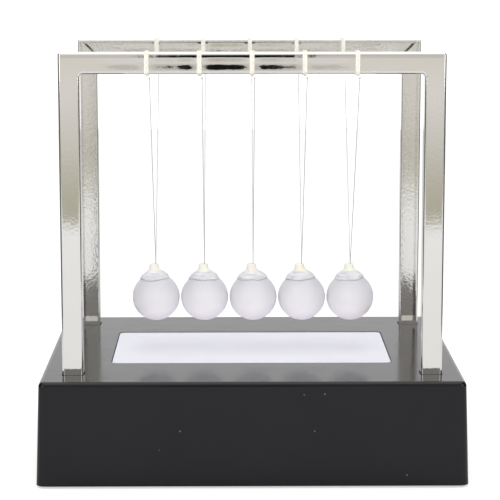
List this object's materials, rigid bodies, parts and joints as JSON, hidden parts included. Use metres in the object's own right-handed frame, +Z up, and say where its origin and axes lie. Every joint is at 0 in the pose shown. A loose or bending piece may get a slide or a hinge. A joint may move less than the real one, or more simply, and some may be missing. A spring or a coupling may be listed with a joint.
{
  "type": "newtons cradle",
  "caption": "Desk Newton's cradle: clear balls on V-shaped lines between two chromed portals, over a black lit base with an opal panel.",
  "frame": {"origin": "centre of the base's footprint, on the surface that the rubber feet stand on", "axes": "+Z up, +X along the row of balls to the right, -Y towards the front"},
  "size_m": [0.1832, 0.1482, 0.183],
  "materials": {
    "black_plastic": "satin",
    "opal_panel": "satin",
    "rubber": "matte",
    "circuit_board": "satin",
    "led_package": "satin",
    "dark_package": "matte",
    "nickel": "satin",
    "steel": "satin",
    "red_wire": "satin",
    "black_wire": "satin",
    "chrome": "polished",
    "cream_thread": "matte",
    "cell_jacket": "gloss",
    "nylon_line": "gloss",
    "milky_cap": "satin",
    "clear_acrylic": "polished"
  },
  "bodies": {
    "base": {"base_housing": "black_plastic", "diffuser_panel": "opal_panel", "bottom_cover": "black_plastic", "battery_door": "black_plastic", "rubber_feet": "rubber", "led_board": "circuit_board", "leds": "led_package", "chip_resistors": "dark_package", "contact_plates": "nickel", "contact_springs": "nickel", "switch_body": "dark_package", "switch_terminals": "nickel", "cover_screws": "steel", "battery_door_screw": "steel", "portal_screws": "steel", "board_screws": "steel", "switch_screws": "steel", "battery_lead": "red_wire", "switch_lead": "red_wire", "board_lead": "black_wire", "front_portal": "chrome", "rear_portal": "chrome", "front_wraps": "cream_thread", "rear_wraps": "cream_thread", "aa_cell_1": "cell_jacket", "aa_cell_2": "cell_jacket", "aa_cell_3": "cell_jacket"},
    "pendulum_1": {"line_1": "nylon_line", "cap_1": "milky_cap", "ball_1": "clear_acrylic"},
    "pendulum_2": {"line_2": "nylon_line", "cap_2": "milky_cap", "ball_2": "clear_acrylic"},
    "pendulum_3": {"line_3": "nylon_line", "cap_3": "milky_cap", "ball_3": "clear_acrylic"},
    "pendulum_4": {"line_4": "nylon_line", "cap_4": "milky_cap", "ball_4": "clear_acrylic"},
    "pendulum_5": {"line_5": "nylon_line", "cap_5": "milky_cap", "ball_5": "clear_acrylic"},
    "switch": {"switch_slider": "black_plastic"}
  },
  "joints": [
    {"name": "pendulum_1_swing", "type": "hinge", "parent": "base", "child": "pendulum_1", "pos_m": [-0.043, 0, 0.1715], "axis": [0, 1, 0], "range_deg": [-0.3, 75]},
    {"name": "pendulum_2_swing", "type": "hinge", "parent": "base", "child": "pendulum_2", "pos_m": [-0.021, 0, 0.1715], "axis": [0, 1, 0], "range_deg": [-0.3, 0.3]},
    {"name": "pendulum_3_swing", "type": "hinge", "parent": "base", "child": "pendulum_3", "pos_m": [0.001, 0, 0.1715], "axis": [0, 1, 0], "range_deg": [-0.3, 0.3]},
    {"name": "pendulum_4_swing", "type": "hinge", "parent": "base", "child": "pendulum_4", "pos_m": [0.023, 0, 0.1715], "axis": [0, 1, 0], "range_deg": [-0.3, 0.3]},
    {"name": "pendulum_5_swing", "type": "hinge", "parent": "base", "child": "pendulum_5", "pos_m": [0.045, 0, 0.1715], "axis": [0, 1, 0], "range_deg": [-75, 0.3]},
    {"name": "power_switch", "type": "slide", "parent": "base", "child": "switch", "axis": [1, 0, 0], "range_m": [0, 0.003]}
  ]
}
